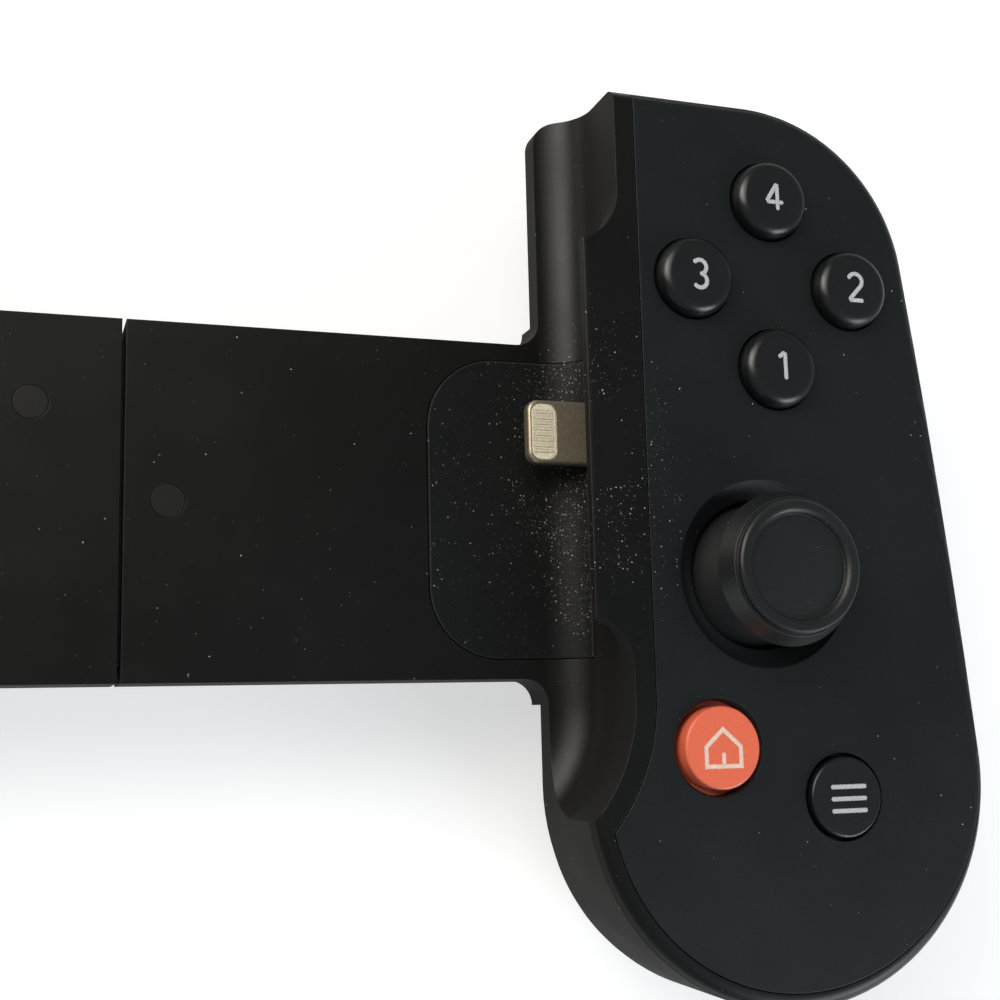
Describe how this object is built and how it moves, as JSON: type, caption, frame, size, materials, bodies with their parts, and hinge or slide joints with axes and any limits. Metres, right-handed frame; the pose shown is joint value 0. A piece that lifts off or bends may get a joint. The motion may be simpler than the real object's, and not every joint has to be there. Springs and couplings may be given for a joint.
{
  "type": "telescoping phone game controller",
  "caption": "Two-handed game controller whose grips slide apart on a flat bridge to clamp a phone; thumb sticks, direction pad, buttons, bumpers and triggers all move.",
  "frame": {"origin": "on the surface the controller rests on, under the middle of its overall box", "axes": "+X towards the right grip, +Y towards the bumpers, +Z out of the face"},
  "size_m": [0.1774, 0.095, 0.034],
  "materials": {
    "shell_plastic": "matte, fine grain",
    "plate_plastic": "matte, soft touch",
    "back_plastic": "matte, grained",
    "key_plastic": "satin",
    "orange_plastic": "satin",
    "rail_plastic": "smooth",
    "pad_rubber": "matte",
    "stick_rubber": "matte",
    "membrane_rubber": "matte",
    "inner_plastic": "smooth",
    "board": "solder mask",
    "steel": "plain",
    "screw_steel": "blackened",
    "plug_metal": "pale gold plate",
    "insert_plastic": "smooth",
    "contact_metal": "gold plate",
    "ribbon_film": "film",
    "light_lens": "diffusing"
  },
  "bodies": {
    "rail": {"centre_rail": "rail_plastic"},
    "right_half": {"right_front_shell": "shell_plastic", "right_face_plate": "plate_plastic", "right_back_cover": "back_plastic", "right_sleeve_cover": "shell_plastic", "right_grip_screws": "screw_steel", "right_tray_plug": "shell_plastic", "right_phone_pad": "pad_rubber", "right_board": "board", "right_membrane": "membrane_rubber", "right_stick_housing": "inner_plastic", "right_return_spring": "steel", "right_ribbon_cable": "ribbon_film", "right_trigger_pin": "steel", "phone_plug_shell": "plug_metal", "phone_plug_insert": "insert_plastic", "phone_plug_contacts": "contact_metal", "phone_plug_board": "board", "charge_socket": "steel", "status_light": "light_lens"},
    "left_half": {"left_front_shell": "shell_plastic", "left_face_plate": "plate_plastic", "left_back_cover": "back_plastic", "left_sleeve_cover": "shell_plastic", "left_grip_screws": "screw_steel", "left_tray_plug": "shell_plastic", "left_phone_pad": "pad_rubber", "left_board": "board", "left_membrane": "membrane_rubber", "left_stick_housing": "inner_plastic", "left_return_spring": "steel", "left_ribbon_cable": "ribbon_film", "left_trigger_pin": "steel", "headphone_jack": "inner_plastic"},
    "button_1": {"button_1": "key_plastic"},
    "button_2": {"button_2": "key_plastic"},
    "button_3": {"button_3": "key_plastic"},
    "button_4": {"button_4": "key_plastic"},
    "home": {"home_button": "orange_plastic"},
    "menu": {"menu_button": "key_plastic"},
    "options": {"options_button": "key_plastic"},
    "capture": {"capture_button": "key_plastic"},
    "pad_spider": {"direction_pad_spider": "inner_plastic"},
    "direction_pad": {"direction_pad": "key_plastic"},
    "right_stick_yoke": {"right_stick_yoke": "inner_plastic"},
    "right_stick_block": {"right_stick_block": "inner_plastic"},
    "right_stick": {"right_stick_shaft": "steel", "right_stick_cap": "stick_rubber"},
    "right_stick_arch": {"right_stick_arch": "inner_plastic"},
    "right_bumper": {"right_bumper": "key_plastic"},
    "right_trigger": {"right_trigger": "key_plastic", "right_trigger_spring": "steel"},
    "left_stick_yoke": {"left_stick_yoke": "inner_plastic"},
    "left_stick_block": {"left_stick_block": "inner_plastic"},
    "left_stick": {"left_stick_shaft": "steel", "left_stick_cap": "stick_rubber"},
    "left_stick_arch": {"left_stick_arch": "inner_plastic"},
    "left_bumper": {"left_bumper": "key_plastic"},
    "left_trigger": {"left_trigger": "key_plastic", "left_trigger_spring": "steel"}
  },
  "joints": [
    {"name": "right_slide", "type": "slide", "parent": "rail", "child": "right_half", "axis": [1, 0, 0], "range_m": [0, 0.035], "stiffness_N_per_m": 60, "springref_m": -0.01, "deforming": ["right_return_spring", "right_ribbon_cable"]},
    {"name": "left_slide", "type": "slide", "parent": "rail", "child": "left_half", "axis": [-1, 0, 0], "range_m": [0, 0.035], "stiffness_N_per_m": 60, "springref_m": -0.01, "deforming": ["left_return_spring", "left_ribbon_cable"]},
    {"name": "button_1_press", "type": "slide", "parent": "right_half", "child": "button_1", "axis": [0, 0, -1], "range_m": [0, 0.0012], "stiffness_N_per_m": 400, "springref_m": -0.0005},
    {"name": "button_2_press", "type": "slide", "parent": "right_half", "child": "button_2", "axis": [0, 0, -1], "range_m": [0, 0.0012], "stiffness_N_per_m": 400, "springref_m": -0.0005},
    {"name": "button_3_press", "type": "slide", "parent": "right_half", "child": "button_3", "axis": [0, 0, -1], "range_m": [0, 0.0012], "stiffness_N_per_m": 400, "springref_m": -0.0005},
    {"name": "button_4_press", "type": "slide", "parent": "right_half", "child": "button_4", "axis": [0, 0, -1], "range_m": [0, 0.0012], "stiffness_N_per_m": 400, "springref_m": -0.0005},
    {"name": "home_press", "type": "slide", "parent": "right_half", "child": "home", "axis": [0, 0, -1], "range_m": [0, 0.0007], "stiffness_N_per_m": 600, "springref_m": -0.0005},
    {"name": "menu_press", "type": "slide", "parent": "right_half", "child": "menu", "axis": [0, 0, -1], "range_m": [0, 0.0007], "stiffness_N_per_m": 600, "springref_m": -0.0005},
    {"name": "options_press", "type": "slide", "parent": "left_half", "child": "options", "axis": [0, 0, -1], "range_m": [0, 0.0007], "stiffness_N_per_m": 600, "springref_m": -0.0005},
    {"name": "capture_press", "type": "slide", "parent": "left_half", "child": "capture", "axis": [0, 0, -1], "range_m": [0, 0.0007], "stiffness_N_per_m": 600, "springref_m": -0.0005},
    {"name": "pad_rock_x", "type": "hinge", "parent": "left_half", "child": "pad_spider", "pos_m": [-0.0636, -0.004, 0.0238], "axis": [1, 0, 0], "range_deg": [-5, 5], "stiffness_Nm_per_rad": 0.3},
    {"name": "pad_rock_y", "type": "hinge", "parent": "pad_spider", "child": "direction_pad", "pos_m": [-0.0636, -0.004, 0.0238], "axis": [0, 1, 0], "range_deg": [-5, 5], "stiffness_Nm_per_rad": 0.3},
    {"name": "right_stick_tilt_x", "type": "hinge", "parent": "right_half", "child": "right_stick_yoke", "pos_m": [0.0636, -0.004, 0.021], "axis": [1, 0, 0], "range_deg": [-14, 14], "stiffness_Nm_per_rad": 0.05},
    {"name": "right_stick_tilt_y", "type": "hinge", "parent": "right_stick_yoke", "child": "right_stick_block", "pos_m": [0.0636, -0.004, 0.021], "axis": [0, 1, 0], "range_deg": [-14, 14], "stiffness_Nm_per_rad": 0.05},
    {"name": "right_stick_click", "type": "slide", "parent": "right_stick_block", "child": "right_stick", "axis": [0, 0, -1], "range_m": [0, 0.0004], "stiffness_N_per_m": 3000, "springref_m": -0.0003},
    {"name": "right_stick_arch_turn", "type": "hinge", "parent": "right_half", "child": "right_stick_arch", "pos_m": [0.0636, -0.004, 0.021], "axis": [0, 1, 0], "range_deg": [-14, 14]},
    {"name": "right_bumper_press", "type": "hinge", "parent": "right_half", "child": "right_bumper", "pos_m": [0.0554, 0.0435, 0.0209], "axis": [0, 0, -1], "range_deg": [0, 2], "stiffness_Nm_per_rad": 1, "springref_deg": -5.73},
    {"name": "right_trigger_pull", "type": "hinge", "parent": "right_half", "child": "right_trigger", "pos_m": [0.0616, 0.0434, 0.0142], "axis": [-1, 0, 0], "range_deg": [0, 16], "stiffness_Nm_per_rad": 0.15, "springref_deg": -11.46, "deforming": ["right_trigger_spring"]},
    {"name": "left_stick_tilt_x", "type": "hinge", "parent": "left_half", "child": "left_stick_yoke", "pos_m": [-0.06595, 0.02685, 0.021], "axis": [1, 0, 0], "range_deg": [-14, 14], "stiffness_Nm_per_rad": 0.05},
    {"name": "left_stick_tilt_y", "type": "hinge", "parent": "left_stick_yoke", "child": "left_stick_block", "pos_m": [-0.06595, 0.02685, 0.021], "axis": [0, 1, 0], "range_deg": [-14, 14], "stiffness_Nm_per_rad": 0.05},
    {"name": "left_stick_click", "type": "slide", "parent": "left_stick_block", "child": "left_stick", "axis": [0, 0, -1], "range_m": [0, 0.0004], "stiffness_N_per_m": 3000, "springref_m": -0.0003},
    {"name": "left_stick_arch_turn", "type": "hinge", "parent": "left_half", "child": "left_stick_arch", "pos_m": [-0.06595, 0.02685, 0.021], "axis": [0, 1, 0], "range_deg": [-14, 14]},
    {"name": "left_bumper_press", "type": "hinge", "parent": "left_half", "child": "left_bumper", "pos_m": [-0.0554, 0.0435, 0.0209], "axis": [0, 0, 1], "range_deg": [0, 2], "stiffness_Nm_per_rad": 1, "springref_deg": -5.73},
    {"name": "left_trigger_pull", "type": "hinge", "parent": "left_half", "child": "left_trigger", "pos_m": [-0.0616, 0.0434, 0.0142], "axis": [-1, 0, 0], "range_deg": [0, 16], "stiffness_Nm_per_rad": 0.15, "springref_deg": -11.46, "deforming": ["left_trigger_spring"]}
  ],
  "couplings": [
    {"joint": "right_stick_arch_turn", "follows": "right_stick_tilt_y", "ratio": 1},
    {"joint": "left_stick_arch_turn", "follows": "left_stick_tilt_y", "ratio": 1}
  ]
}
